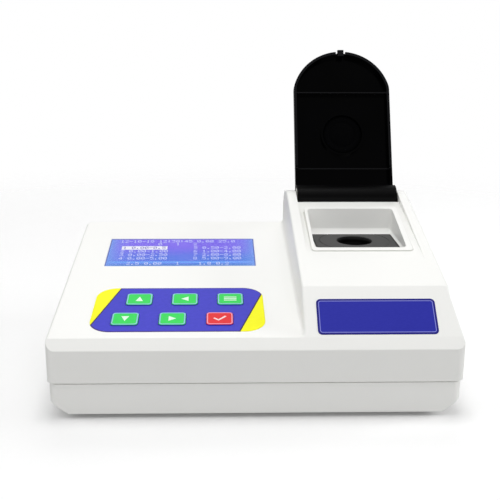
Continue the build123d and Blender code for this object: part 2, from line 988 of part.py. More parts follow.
# Lamp: flange on its board and a domed body towards the lens
with BuildPart() as lamp:
    body_length = pocket_depth - optic_thickness - optic_gap - lamp_radius
    with BuildSketch(side_plane(holder_left)):
        with Locations((cell_back, beam_height)):
            Circle(lamp_flange_radius)
    extrude(amount=lamp_flange)
    with BuildSketch(side_plane(holder_left)):
        with Locations((cell_back, beam_height)):
            Circle(lamp_radius)
    extrude(amount=body_length)
    with Locations((holder_left + body_length, front_y + cell_back, beam_height)):
        Sphere(lamp_radius)
    split(bisect_by=side_plane(holder_left), keep=Keep.TOP)
save(lamp.part, "lamp")

# Main circuit board on the tray's standoffs
with BuildPart() as main_board:
    with BuildSketch(level_plane(board_under)):
        with Locations((board_x, board_back)):
            Rectangle(board_width, board_length)
            with GridLocations(
                board_width - 2 * board_screw_inset,
                board_length - 2 * board_screw_inset,
                2,
                2,
            ):
                Circle(screw_hole_radius, mode=Mode.SUBTRACT)
    extrude(amount=board_thickness)
save(main_board.part, "main_board")

# Chips on the main board: processor, memory, converter and four driver chips
chip_sizes = {
    "processor": (-30.0, 10.0, 16.0, 16.0, 1.8),
    "memory": (-5.0, 14.0, 12.0, 8.0, 1.4),
    "converter": (22.0, -12.0, 10.0, 14.0, 2.0),
    "relay": (34.0, 30.0, 12.0, 20.0, 10.0),
    "driver": (-28.0, -30.0, 20.0, 7.0, 1.6),
}
board_top = board_under + board_thickness
with BuildPart() as board_chips:
    for chip_x, chip_back, chip_width, chip_length, chip_height in chip_sizes.values():
        with BuildSketch(level_plane(board_top)):
            with Locations((board_x + chip_x, board_back + chip_back)):
                Rectangle(chip_width, chip_length)
        extrude(amount=chip_height)
save(board_chips.part, "board_chips")

with BuildPart() as board_screws:
    with BuildSketch(level_plane(board_top)):
        with Locations((board_x, board_back)):
            with GridLocations(
                board_width - 2 * board_screw_inset,
                board_length - 2 * board_screw_inset,
                2,
                2,
            ):
                Circle(small_head_radius)
    extrude(amount=small_head)
    with BuildSketch(level_plane(board_top)):
        with Locations((board_x, board_back)):
            with GridLocations(
                board_width - 2 * board_screw_inset,
                board_length - 2 * board_screw_inset,
                2,
                2,
            ):
                Circle(screw_radius)
    extrude(amount=floor_top - board_top)
save(board_screws.part, "board_screws")

# Power module on the tray's floor, with an ear at each end
with BuildPart() as power_module:
    with BuildSketch(level_plane(floor_top)):
        with Locations((module_x, module_back)):
            Rectangle(module_width, module_length)
    extrude(amount=module_height)
    chamfer(power_module.edges().filter_by(Axis.Z), length=module_edge)
    with BuildSketch(level_plane(floor_top)):
        with Locations((module_x, module_back)):
            Rectangle(module_width + 2 * module_ear, module_length / 3)
            with GridLocations(module_width + module_ear, 0, 2, 1):
                Circle(screw_hole_radius, mode=Mode.SUBTRACT)
    extrude(amount=module_ear_thickness)
save(power_module.part, "power_module")

with BuildPart() as module_screws:
    with BuildSketch(level_plane(floor_top + module_ear_thickness)):
        with Locations((module_x, module_back)):
            with GridLocations(module_width + module_ear, 0, 2, 1):
                Circle(small_head_radius)
    extrude(amount=small_head)
    with BuildSketch(level_plane(floor_top + module_ear_thickness)):
        with Locations((module_x, module_back)):
            with GridLocations(module_width + module_ear, 0, 2, 1):
                Circle(screw_radius)
    extrude(amount=module_screw_gap - tray_wall - module_ear_thickness)
save(module_screws.part, "module_screws")

# Mains inlet in the rear wall, with a keyed mouth
with BuildPart() as power_inlet:
    with BuildSketch(front_plane(case_depth)):
        with Locations((-inlet_x, fitting_height)):
            RectangleRounded(inlet_flange_width, inlet_flange_height, fitting_corner)
    extrude(amount=inlet_flange)
    with BuildSketch(front_plane(case_depth)):
        with Locations((-inlet_x, fitting_height)):
            Rectangle(inlet_body_width, inlet_body_height)
    extrude(amount=-inlet_body_depth)
    with BuildSketch(front_plane(case_depth + inlet_flange)) as mouth:
        with Locations((-inlet_x, fitting_height)):
            Rectangle(inlet_mouth_width, inlet_mouth_height)
        chamfer(mouth.vertices().group_by(Axis.Y)[-1], length=inlet_mouth_chamfer)
    extrude(amount=-inlet_mouth_depth, mode=Mode.SUBTRACT)
    with BuildSketch(front_plane(case_depth + inlet_flange - inlet_mouth_depth)):
        with Locations(
            (-inlet_x - blade_spread / 2, fitting_height - blade_drop),
            (-inlet_x + blade_spread / 2, fitting_height - blade_drop),
            (-inlet_x, fitting_height + blade_drop),
        ):
            Rectangle(blade_thickness + 2 * plug_gap, blade_height + 2 * plug_gap)
    extrude(amount=-inlet_body_depth, mode=Mode.SUBTRACT)
save(power_inlet.part, "power_inlet")

# Three blades of the inlet, through the bottom of its mouth
with BuildPart() as inlet_blades:
    with BuildSketch(front_plane(case_depth + inlet_flange - inlet_mouth_depth)):
        with Locations(
            (-inlet_x - blade_spread / 2, fitting_height - blade_drop),
            (-inlet_x + blade_spread / 2, fitting_height - blade_drop),
            (-inlet_x, fitting_height + blade_drop),
        ):
            Rectangle(blade_thickness, blade_height)
    extrude(amount=blade_length)
    blade_root = inlet_body_depth + inlet_flange - inlet_mouth_depth
    extrude(
        inlet_blades.faces().filter_by(Axis.Y).group_by(Axis.Y)[0],
        amount=blade_root + blade_tail,
    )
save(inlet_blades.part, "inlet_blades")

# Frame of the power switch
pivot_back = case_depth + switch_flange - rocker_pivot_depth
with BuildPart() as switch_frame:
    with BuildSketch(front_plane(case_depth)):
        with Locations((-switch_x, fitting_height)):
            RectangleRounded(switch_flange_width, switch_flange_height, fitting_corner)
    extrude(amount=switch_flange)
    with BuildSketch(front_plane(case_depth)):
        with Locations((-switch_x, fitting_height)):
            Rectangle(switch_frame_width, switch_frame_height)
    extrude(amount=-switch_frame_depth)
    with BuildSketch(front_plane(case_depth + switch_flange)):
        with Locations((-switch_x, fitting_height)):
            Rectangle(switch_mouth_width, switch_mouth_height)
    extrude(amount=-switch_mouth_depth, mode=Mode.SUBTRACT)
    with BuildSketch(side_plane(switch_x - switch_frame_width / 2)):
        with Locations((pivot_back, fitting_height)):
            Circle(rocker_stub_radius + rocker_stub_gap)
    extrude(amount=switch_frame_width, mode=Mode.SUBTRACT)
save(switch_frame.part, "power_switch_frame")

# Rocker of the power switch, tipped to off, on two stubs
rocker_plane = Plane(
    origin=(switch_x - rocker_width / 2, front_y + pivot_back, fitting_height),
    x_dir=(0, cos(radians(rocker_tilt)), -sin(radians(rocker_tilt))),
    z_dir=(1, 0, 0),
)
with BuildPart() as power_rocker:
    with BuildSketch(rocker_plane):
        with BuildLine():
            Polyline(
                (-rocker_sink, -rocker_half / 2),
                (0, -rocker_half),
                (rocker_rise, -rocker_half),
                (rocker_rise - rocker_crown, 0),
                (rocker_rise, rocker_half),
                (0, rocker_half),
                (-rocker_sink, rocker_half / 2),
                close=True,
            )
        make_face()
    extrude(amount=rocker_width)
    with BuildSketch(side_plane(switch_x - switch_frame_width / 2)):
        with Locations((pivot_back, fitting_height)):
            Circle(rocker_stub_radius)
    extrude(amount=switch_frame_width)
save(power_rocker.part, "power_rocker")

# Data socket on the main board, through the tray's rear wall
with BuildPart() as data_port:
    port_face = case_depth + port_proud
    with BuildSketch(front_plane(port_face)):
        with Locations((-port_x, port_middle)):
            Rectangle(port_width, port_height)
    extrude(amount=-port_length)
    with BuildSketch(front_plane(port_face)) as port_mouth:
        with Locations((-port_x, port_middle)):
            Rectangle(port_mouth_width, port_mouth_height)
        chamfer(port_mouth.vertices().group_by(Axis.Y)[-1], length=port_mouth_chamfer)
    extrude(amount=-port_mouth_depth, mode=Mode.SUBTRACT)
    with BuildSketch(front_plane(port_face - port_mouth_depth)):
        with Locations((-port_x, port_middle)):
            Rectangle(port_tongue_width, port_tongue_height)
    extrude(amount=port_tongue_length)
save(data_port.part, "data_port")


def lid_outline(inset):
    # D-shaped outline of the lid: straight sides and an arched tip.
    half = lid_width / 2 - inset
    shoulder = lid_length - lid_arch_rise
    with BuildSketch() as outline:
        with BuildLine():
            Polyline((-half, shoulder), (-half, 0), (half, 0), (half, shoulder))
            ThreePointArc((half, shoulder), (0, lid_length - inset), (-half, shoulder))
        make_face()
        fillet(outline.vertices().group_by(Axis.Y)[-1], radius=lid_shoulder_radius)
    return outline.sketch


# Flip lid: D-shaped shell with a round barrel at its foot, two cross ribs, a round boss
# and a finger tongue between two notches at its tip
lid_left = lid_x - lid_width / 2
with BuildPart() as lid:
    with BuildSketch(lid_plane()):
        add(lid_outline(0))
    extrude(amount=lid_thickness)
    fillet(
        lid.faces().sort_by(SortBy.AREA)[-2:].sort_by(Axis.Y)[-1].edges().sort_by(Axis.Z)[1:],
        radius=lid_edge_radius,
    )
    with BuildSketch(side_plane(lid_left)):
        with Locations((hinge_back, hinge_height)):
            Circle(barrel_radius)
    extrude(amount=lid_width)
    with BuildSketch(lid_plane()):
        add(lid_outline(lid_wall))
        with Locations((0, 0)):
            Rectangle(lid_width, 2 * (barrel_radius + lid_wall), mode=Mode.SUBTRACT)
        for rib_at in (front_rib_at, rear_rib_at):
            with Locations((0, rib_at)):
                Rectangle(lid_width, rib_thickness, mode=Mode.SUBTRACT)
    extrude(amount=lid_thickness - lid_wall, mode=Mode.SUBTRACT)
    for rib_at, rib_tip in ((front_rib_at, front_rib_tip), (rear_rib_at, rear_rib_tip)):
        with BuildSketch(lid_plane()):
            with Locations((0, rib_at)):
                Rectangle(lid_width - 2 * lid_wall, rib_thickness)
        extrude(amount=rib_tip, mode=Mode.SUBTRACT)
    with BuildSketch(lid_plane(lid_thickness - lid_wall)):
        with Locations((0, boss_at)):
            Circle(boss_radius)
            Circle(boss_radius - boss_wall, mode=Mode.SUBTRACT)
    extrude(amount=-boss_height)
    with BuildSketch(side_plane(lid_left)):
        with Locations((hinge_back, hinge_height)):
            Circle(barrel_radius - barrel_wall)
    extrude(amount=lid_width, mode=Mode.SUBTRACT)
    with BuildSketch(lid_plane()):
        with Locations((0, lid_length)):
            with GridLocations(tongue_width + notch_width, 0, 2, 1):
                Rectangle(notch_width, 2 * notch_depth)
    extrude(amount=lid_thickness / 2, mode=Mode.SUBTRACT)
    with BuildSketch(lid_plane()):
        with Locations((0, lid_length - lid_wall / 2)):
            Rectangle(tongue_width, lid_wall + 2 * tongue_reach)
    extrude(amount=tongue_thickness)
save(lid.part, "lid")

# Soft seal pad in the lid's boss, over the sample hole when the lid is closed
with BuildPart() as lid_pad:
    with BuildSketch(lid_plane(lid_thickness - lid_wall)):
        with Locations((0, boss_at)):
            Circle(boss_radius - boss_wall - pad_gap)
    extrude(amount=-pad_thickness)
save(lid_pad.part, "lid_pad")

# Two bushes in the ends of the barrel, which turn on the hinge rod
with BuildPart() as lid_bushes:
    for bush_x in (lid_left, lid_left + lid_width - bush_length):
        with BuildSketch(side_plane(bush_x)):
            with Locations((hinge_back, hinge_height)):
                Circle(barrel_radius - barrel_wall - bush_gap)
                Circle(rod_radius + rod_running_gap, mode=Mode.SUBTRACT)
        extrude(amount=bush_length)
save(lid_bushes.part, "lid_bushes")

# Hinge rod, from the left ridge to the plug in the right one
with BuildPart() as hinge_rod:
    with BuildSketch(side_plane(recess_left - rod_bite)):
        with Locations((hinge_back, hinge_height)):
            Circle(rod_radius)
    extrude(amount=tower_right - plug_depth - recess_left + rod_bite)
save(hinge_rod.part, "hinge_rod")

with BuildPart() as rod_plug:
    with BuildSketch(side_plane(tower_right - plug_depth)):
        with Locations((hinge_back, hinge_height)):
            Circle(plug_radius)
    extrude(amount=plug_depth)
save(rod_plug.part, "rod_plug")
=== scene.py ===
from math import cos, hypot, pi, radians, sin

import bmesh
import bpy
from mathutils import Matrix, Vector


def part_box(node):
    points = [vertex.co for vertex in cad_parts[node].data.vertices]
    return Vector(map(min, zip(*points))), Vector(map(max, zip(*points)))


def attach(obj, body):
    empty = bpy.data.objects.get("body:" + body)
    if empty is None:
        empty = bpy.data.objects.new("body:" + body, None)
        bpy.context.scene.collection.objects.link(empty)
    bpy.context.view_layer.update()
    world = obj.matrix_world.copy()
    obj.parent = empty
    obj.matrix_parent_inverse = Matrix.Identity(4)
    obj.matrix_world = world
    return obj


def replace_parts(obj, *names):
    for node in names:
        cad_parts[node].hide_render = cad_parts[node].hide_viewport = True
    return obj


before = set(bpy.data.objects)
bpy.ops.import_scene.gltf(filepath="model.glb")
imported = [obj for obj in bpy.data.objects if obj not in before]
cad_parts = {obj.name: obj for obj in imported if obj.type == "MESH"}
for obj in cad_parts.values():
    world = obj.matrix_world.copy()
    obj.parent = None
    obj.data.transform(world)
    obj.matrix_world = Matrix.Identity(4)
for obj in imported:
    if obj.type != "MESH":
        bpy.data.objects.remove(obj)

# Bench meter: a case with a lit display, a keypad and a name plate, and a sample well under a
# flip lid. Metres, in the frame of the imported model: X runs to the right, Y to the back, Z up.
MM = 0.001
ACROSS = Vector((1, 0, 0))
UP = Vector((0, 0, 1))
FRONT = Vector((0, -1, 0))
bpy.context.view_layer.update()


def ink(red, green, blue):
    """A printed or moulded colour, given from 0 to 255 as the eye sees it, as linear light."""
    seen = [part / 255 for part in (red, green, blue)]
    linear = [part / 12.92 if part < 0.04045 else ((part + 0.055) / 1.055) ** 2.4 for part in seen]
    return (*linear, 1.0)


def scaled(colour, share):
    """A colour with a share of its light: below 1 it is darker, above 1 paler."""
    return (*(part * share for part in colour[:3]), 1.0)


# Materials

class Value:
    """A number that varies over a surface, with the arithmetic used on it."""

    def __init__(self, finish, socket):
        self.finish = finish
        self.socket = socket

    def reckon(self, operation, *terms):
        """Adds a Math node that works on the terms."""
        return self.finish.add("ShaderNodeMath", {"operation": operation}, dict(enumerate(terms)))

    def __add__(self, other):
        return self.reckon("ADD", self, other)

    __radd__ = __add__

    def __sub__(self, other):
        return self.reckon("SUBTRACT", self, other)

    def __rsub__(self, other):
        return self.reckon("SUBTRACT", other, self)

    def __mul__(self, other):
        return self.reckon("MULTIPLY", self, other)

    __rmul__ = __mul__

    def __abs__(self):
        return self.reckon("ABSOLUTE", self)

    def __pow__(self, other):
        return self.reckon("POWER", self, other)

    def at_least(self, other):
        return self.reckon("MAXIMUM", self, other)

    def at_most(self, other):
        return self.reckon("MINIMUM", self, other)

    def ramp(self, low, high):
        """Goes smoothly from 0 at low to 1 at high."""
        settings = {"interpolation_type": "SMOOTHSTEP"}
        return self.finish.add("ShaderNodeMapRange", settings, {0: self, 1: low, 2: high})


class Finish:
    """A material under construction, with its principled shader and the point on the surface."""

    def __init__(self, name, **sockets):
        self.material = bpy.data.materials.new(name)
        self.material.use_nodes = True
        self.tree = self.material.node_tree
        self.tree.nodes.clear()
        self.point = self.add("ShaderNodeTexCoord", output="Object")
        self.shader = self.add("ShaderNodeBsdfPrincipled")
        self.output = self.add("ShaderNodeOutputMaterial", None, {"Surface": self.shader}, None)
        self.set(**sockets)

    def add(self, kind, settings=None, sockets=None, output=0):
        """Adds a node: first its settings, then the values or links of its sockets."""
        node = self.tree.nodes.new(kind)
        for name, value in (settings or {}).items():
            setattr(node, name, value)
        for name, value in (sockets or {}).items():
            self.feed(node.inputs[name], value)
        return node if output is None else Value(self, node.outputs[output])

    def feed(self, socket, value):
        """Links a varying value to a socket, or sets a plain one on it."""
        if isinstance(value, Value):
            self.tree.links.new(value.socket, socket)
        else:
            socket.default_value = value

    def set(self, **sockets):
        """Sets sockets of the principled shader, named with underscores for the spaces."""
        for name, value in sockets.items():
            self.feed(self.shader.socket.node.inputs[name.replace("_", " ")], value)
        return self

    def fed(self, name):
        """What already feeds a socket of the principled shader."""
        return Value(self, self.shader.socket.node.inputs[name].links[0].from_socket)

    def along(self, direction, start=0.0):
        """Distance of the point on the surface along a direction, from a start."""
        settings = {"operation": "DOT_PRODUCT"}
        dot = self.add("ShaderNodeVectorMath", settings, {0: self.point, 1: direction}, "Value")
        return dot - start

    def from_middle(self, face):
        """Distances across and along a face, from its middle."""
        return [self.along(way, face.middle.dot(way)) for way in (face.across, face.along)]

    def from_edge(self, face, corner):
        """Distance from a face's edge, whose corners are rounded, negative inside it."""
        beyond = [
            abs(place) - (size / 2 - corner)
            for place, size in zip(self.from_middle(face), (face.width, face.length))
        ]
        inner = beyond[0].at_least(beyond[1]).at_most(0.0)
        squares = beyond[0].at_least(0.0) ** 2 + beyond[1].at_least(0.0) ** 2
        return inner + squares ** 0.5 - corner

    def blend(self, share, first, second):
        """The first colour where share is 0 and the second where it is 1."""
        settings = {"data_type": "RGBA"}
        return self.add("ShaderNodeMix", settings, {0: share, 6: first, 7: second}, 2)

    def cloud(self, size, detail=2.0, stretch=(1, 1, 1)):
        """Noise from 0 to 1, with patches of a size in metres."""
        settings = {"operation": "MULTIPLY"}
        place = self.add("ShaderNodeVectorMath", settings, {0: self.point, 1: stretch})
        sockets = {"Vector": place, "Scale": 1 / size, "Detail": detail}
        return self.add("ShaderNodeTexNoise", None, sockets)

    def relief(self, height, depth):
        """Raises the surface by a height from 0 to 1, with a depth in metres."""
        sockets = {"Height": height, "Distance": depth, "Strength": 1.0}
        return self.set(Normal=self.add("ShaderNodeBump", None, sockets))


FINE_DETAIL = 3.0
PATCH_SIZE = 35 * MM
PATCH_GLOSS, GRAIN_GLOSS = 0.08, 0.05


def uneven_gloss(patches, fine, roughness):
    """Roughness of a moulding, that varies about a mean with its patches and its grain."""
    mean = (PATCH_GLOSS + GRAIN_GLOSS) / 2
    return patches * PATCH_GLOSS + fine * GRAIN_GLOSS + (roughness - mean)


def moulded(name, colour, roughness, mottle=0.02, grain=0.5 * MM, depth=0.004 * MM, **sockets):
    """Moulded plastic or rubber: slight mottling, uneven gloss and a fine moulded grain."""
    finish = Finish(name, **sockets)
    patches = finish.cloud(PATCH_SIZE)
    fine = finish.cloud(grain, FINE_DETAIL)
    tone = patches * 0.7 + fine * 0.3
    finish.set(
        Base_Color=finish.blend(tone, scaled(colour, 1 - mottle * 2), colour),
        Roughness=uneven_gloss(patches, fine, roughness),
    )
    return finish.relief(fine, depth)


def metal(name, colour, roughness, brushed=(1, 1, 1)):
    """Plated or turned metal, with fine lines where it is brushed along one direction."""
    finish = Finish(name, Metallic=1.0)
    lines = finish.cloud(0.9 * MM, FINE_DETAIL, brushed)
    gloss_swing = 0.15
    finish.set(
        Base_Color=finish.blend(lines, scaled(colour, 0.8), colour),
        Roughness=lines * gloss_swing + (roughness - gloss_swing / 2),
    )
    return finish.relief(lines, 0.003 * MM)


def clear(name, colour, roughness, alpha):
    """Clear or tinted plastic that what lies behind shows through, with faint smears."""
    finish = Finish(name, Base_Color=colour, IOR=1.49)
    smears = finish.cloud(14 * MM, 4.0, (1, 0.4, 1))
    return finish.set(Roughness=smears * 0.08 + roughness, Alpha=smears * 0.03 + alpha)


def circuit_board(name, mask):
    """Solder mask with paler copper tracks under it, round square cells of the board."""
    finish = Finish(name, Coat_Weight=0.3, Coat_Roughness=0.2)
    cells_in_a_metre = 260.0
    sockets = {"Vector": finish.point, "Scale": cells_in_a_metre}
    cells = finish.add("ShaderNodeTexVoronoi", {"distance": "CHEBYCHEV"}, sockets)
    tracks = cells.ramp(0.28, 0.34) * (1 - cells.ramp(0.42, 0.48))
    fine = finish.cloud(0.8 * MM, FINE_DETAIL)
    finish.set(
        Base_Color=finish.blend(tracks, mask, scaled(mask, 1.8)),
        Roughness=fine * 0.2 + 0.35,
    )
    return finish.relief(tracks, 0.03 * MM)


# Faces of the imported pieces, so that a print or a mark sits on what carries it

class Face:
    """The largest flat face of a CAD node that looks roughly along a direction.

    The cosine between the two directions is more than nearness.
    """

    def __init__(self, node, toward, nearness=0.5):
        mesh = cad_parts[node].data
        groups = {}
        for polygon in mesh.polygons:
            if polygon.normal.dot(toward) > nearness:
                key = (*(round(part, 2) for part in polygon.normal),
                       round(polygon.center.dot(polygon.normal) / MM, 1))
                groups.setdefault(key, []).append(polygon)
        polygons = max(groups.values(), key=lambda group: sum(p.area for p in group))
        self.normal = sum((p.normal * p.area for p in polygons), Vector()).normalized()
        side = ACROSS if toward.y <= 0 else -ACROSS
        self.across = (side - self.normal * side.dot(self.normal)).normalized()
        self.along = self.normal.cross(self.across)
        points = [mesh.vertices[i].co for polygon in polygons for i in polygon.vertices]
        spans = []
        for direction in (self.across, self.along):
            reach = [point.dot(direction) for point in points]
            spans.append((min(reach), max(reach)))
        (left, right), (low, high) = spans
        self.width = right - left
        self.length = high - low
        height = sum(point.dot(self.normal) for point in points) / len(points)
        self.middle = (self.across * (left + right) + self.along * (low + high)) / 2
        self.middle += self.normal * height

    def at(self, across, along, height=0.0):
        """The point at distances from the middle and at a height over the face."""
        return self.middle + self.across * across + self.along * along + self.normal * height


class Level:
    """A level rectangle, from its left, right, front and back edges."""

    def __init__(self, left, right, front, back):
        self.across = ACROSS
        self.along = -FRONT
        self.middle = Vector(((left + right) / 2, (front + back) / 2, 0))
        self.width = right - left
        self.length = back - front


def sloping(degrees):
    """Direction square to a face that slopes down to the front, by its angle from level."""
    return Vector((0, -sin(radians(degrees)), cos(radians(degrees))))


PANEL_SIDE = sloping(8.4)
NOSE_SIDE = sloping(42.9)


# Building pieces

def placed(name, shape, finish, smooth=False):
    """Puts a mesh into the scene as an object, with its finish."""
    mesh = bpy.data.meshes.new(name)
    shape.to_mesh(mesh)
    shape.free()
    for polygon in mesh.polygons:
        polygon.use_smooth = smooth
    made = bpy.data.objects.new(name, mesh)
    bpy.context.scene.collection.objects.link(made)
    mesh.materials.append(finish.material)
    return made


def piece(name, shape, finish, body, smooth=False):
    """Makes a named piece of a mesh, gives it its finish and seats it on a CAD body."""
    bmesh.ops.recalc_face_normals(shape, faces=shape.faces)
    made = placed(name, shape, finish, smooth)
    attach(made, body)
    return made


def rounded_outline(width, length, corner, steps=5):
    """Points of a rounded rectangle round the middle of a face."""
    points = []
    for quarter in range(4):
        x = (width / 2 - corner) * (1 if quarter in (0, 3) else -1)
        y = (length / 2 - corner) * (1 if quarter < 2 else -1)
        for step in range(steps + 1):
            angle = (quarter + step / steps) * pi / 2
            points.append((x + corner * cos(angle), y + corner * sin(angle)))
    return points


def round_outline(radius, sides):
    """Points of a circle round the middle of a face."""
    angles = [2 * pi * i / sides for i in range(sides)]
    return [(radius * cos(angle), radius * sin(angle)) for angle in angles]


def bar(x, y, width, length):
    """Outline of an upright rectangle, from its middle and its size."""
    half, rise = width / 2, length / 2
    return [(x - half, y - rise), (x + half, y - rise), (x + half, y + rise), (x - half, y + rise)]


def stroke(start, end, width):
    """Outline of a straight line of a width."""
    (x, y), (u, v) = start, end
    length = hypot(u - x, v - y)
    p, q = -(v - y) / length * width / 2, (u - x) / length * width / 2
    return [(x + p, y + q), (x - p, y - q), (u - p, v - q), (u + p, v + q)]


def raise_outline(shape, face, outline, top, bottom, hole=None):
    """A flat raised print on a face, from bottom to top, with a hole where one is given."""
    rings = []
    for points in filter(None, (outline, hole)):
        for height in (top, bottom):
            rings.append([shape.verts.new(face.at(x, y, height)) for x, y in points])
    if hole is None:
        upper, lower = rings
        shape.faces.new(upper)
        shape.faces.new(lower[::-1])
        pairs = [(upper, lower)]
    else:
        upper, lower, inner_upper, inner_lower = rings
        pairs = [
            (upper, lower),
            (inner_upper, upper),
            (inner_lower, inner_upper),
            (lower, inner_lower),
        ]
    for first, second in pairs:
        join(shape, first, second)


def join(shape, first, second):
    """Faces between two rings of points. The second may be a single point."""
    for i in range(len(first)):
        j = (i + 1) % len(first)
        if len(second) == 1:
            shape.faces.new((second[0], first[i], first[j]))
        else:
            shape.faces.new((first[i], first[j], second[j], second[i]))


def closed_rings(shape, rings):
    """Joins rings of points of equal number, one to the next and the last to the first."""
    corners = [[shape.verts.new(point) for point in ring] for ring in rings]
    for first, second in zip(corners, corners[1:] + corners[:1]):
        join(shape, first, second)


# Plastics, metals and prints

case_white = moulded("case_white", ink(246, 246, 243), 0.42, 0.012)
cover_white = moulded("cover_white", ink(246, 246, 243), 0.42, 0.012)
tray_white = moulded("tray_white", ink(250, 250, 247), 0.45, 0.015)
bush_white = moulded("bush_white", ink(224, 224, 218), 0.4, 0.03)
port_pale = moulded("port_pale", ink(214, 214, 208), 0.5, 0.03)
socket_black = moulded("socket_black", ink(24, 24, 25), 0.45, 0.1, 0.4 * MM, 0.006 * MM)
rocker_black = moulded("rocker_black", ink(18, 18, 19), 0.3, 0.1)
holder_black = moulded(
    "holder_black", ink(12, 12, 13), 0.55, 0.15, 0.3 * MM, 0.006 * MM, Specular_IOR_Level=0.15
)
rubber = moulded("foot_rubber", ink(38, 38, 40), 0.8, 0.12, 0.35 * MM, 0.02 * MM)
foam = moulded(
    "seal_foam", ink(2, 2, 3), 0.92, 0.2, 0.5 * MM, 0.12 * MM, Specular_IOR_Level=0.04
)
chip_black = moulded("chip_epoxy", ink(34, 34, 36), 0.55, 0.1, 0.2 * MM, 0.008 * MM)
module_grey = moulded("module_casing", ink(92, 94, 98), 0.5, 0.08)
frame_black = moulded("frame_black", ink(30, 30, 32), 0.5, 0.1, 0.4 * MM, 0.004 * MM)
steel = metal("polished_steel", ink(205, 207, 210), 0.2, (0.05, 1, 1))
screw_steel = metal("screw_steel", ink(178, 180, 184), 0.3)
brass = metal("inlet_brass", ink(212, 178, 104), 0.25, (1, 0.1, 1))
lens_glass = clear("lens_glass", ink(214, 226, 236), 0.04, 0.35)
filter_glass = clear("filter_glass", ink(50, 80, 190), 0.04, 0.7)
window_clear = clear("window_clear", ink(180, 190, 255), 0.06, 0.05)
board_green = circuit_board("board_green", ink(16, 92, 52))
symbol_white = moulded("symbol_white", ink(226, 255, 232), 0.5, 0.02)
confirm_white = moulded("confirm_white", ink(255, 224, 226), 0.5, 0.02)
border_blue = moulded("key_border_blue", ink(140, 196, 226), 0.45, 0.05)
border_pink = moulded("key_border_pink", ink(250, 150, 176), 0.45, 0.05)
marks_white = moulded("rocker_marks", ink(232, 232, 230), 0.5, 0.02)


def shade_bead_foot(finish):
    """Painted shade: a darker line where the bead round the well meets the cover's sunk face."""
    bead = Level(left=41.9 * MM, right=113.5 * MM, front=-40.0 * MM, back=25.3 * MM)
    from_foot = abs(finish.from_edge(bead, corner=3.0 * MM) - 0.3 * MM)
    # Painted shade in the crease along the bead's foot
    painted_shade = (1 - from_foot.ramp(0.2 * MM, 0.6 * MM)) * 0.7
    finish.set(Base_Color=finish.blend(painted_shade, finish.fed("Base Color"), ink(206, 206, 200)))


def lid_gloss():
    """Black glossy lid: painted highlights along the crests of its rim and ribs, and a duller
    barrel.
    """
    finish = Finish("lid_black", Specular_IOR_Level=0.06)
    hinge_foot = Vector((0, 56.98 * MM, 104.64 * MM))
    lean = radians(25.2)
    toward_tip = Vector((0, sin(lean), cos(lean)))
    inward = Vector((0, cos(lean), -sin(lean)))
    reach = finish.along(toward_tip, hinge_foot.dot(toward_tip))
    depth = finish.along(inward, hinge_foot.dot(inward))
    # Painted highlights: paler colour along the crests of the rim and the ribs, which are also a
    # little rougher
    crest_highlight = reach.ramp(28 * MM, 30 * MM) * (1 - depth.ramp(0.1 * MM, 0.5 * MM)) * 0.8
    rib_crests = {92 * MM: 1.0 * MM, 28 * MM: 4.2 * MM}
    half_rib = 0.7 * MM
    for rib, crest in rib_crests.items():
        band = 1 - abs(reach - (rib - half_rib)).ramp(0.3 * MM, half_rib)
        crest_highlight = crest_highlight.at_least(band * (1 - depth.ramp(crest + 0.2 * MM, crest + 0.6 * MM)))
    barrel = 1 - reach.ramp(11 * MM, 14 * MM)
    patches = finish.cloud(PATCH_SIZE)
    fine = finish.cloud(0.8 * MM, FINE_DETAIL)
    black = finish.blend(patches, ink(0, 0, 0), ink(2, 2, 3))
    finish.set(
        # Base colour with the painted crest highlights
        Base_Color=finish.blend(crest_highlight * 0.9, black, ink(25, 25, 27)),
        Roughness=uneven_gloss(patches, fine, 0.13) + barrel * 0.3 + crest_highlight * 0.15,
    )
    return finish.relief(fine, 0.001 * MM)


def deck_grey():
    """Dark grey painted sheet with a fine speckle, darker towards its edges."""
    finish = Finish("deck_grey", Specular_IOR_Level=0.15)
    speckle = finish.cloud(0.5 * MM, FINE_DETAIL)
    edge = finish.from_edge(Face("deck_plate", UP), corner=1.5 * MM)
    rim = edge.ramp(-1.5 * MM, -0.7 * MM)
    paint = finish.blend(speckle, ink(64, 64, 64), ink(84, 84, 84))
    finish.set(
        Base_Color=finish.blend(rim * 0.8, paint, ink(34, 34, 34)),
        Roughness=speckle * 0.15 + 0.5,
    )
    return finish.relief(speckle, 0.012 * MM)


def key_plastic(name, colour):
    """Key with a soft sheen: a coloured top, and sides as blue as the film round it."""
    finish = Finish(name, Specular_IOR_Level=0.15)
    face = Face("key_up", PANEL_SIDE)
    height = finish.along(face.normal, face.middle.dot(face.normal))
    speckle = finish.cloud(3 * MM, 4.0)
    fine = finish.cloud(0.3 * MM, FINE_DETAIL)
    top = finish.blend(speckle, scaled(colour, 0.9), colour)
    above_sides = height.ramp(-0.3 * MM, -0.15 * MM)
    finish.set(
        Base_Color=finish.blend(above_sides, ink(60, 60, 170), top),
        Roughness=fine * 0.1 + 0.4,
    )
    return finish.relief(fine, 0.006 * MM)


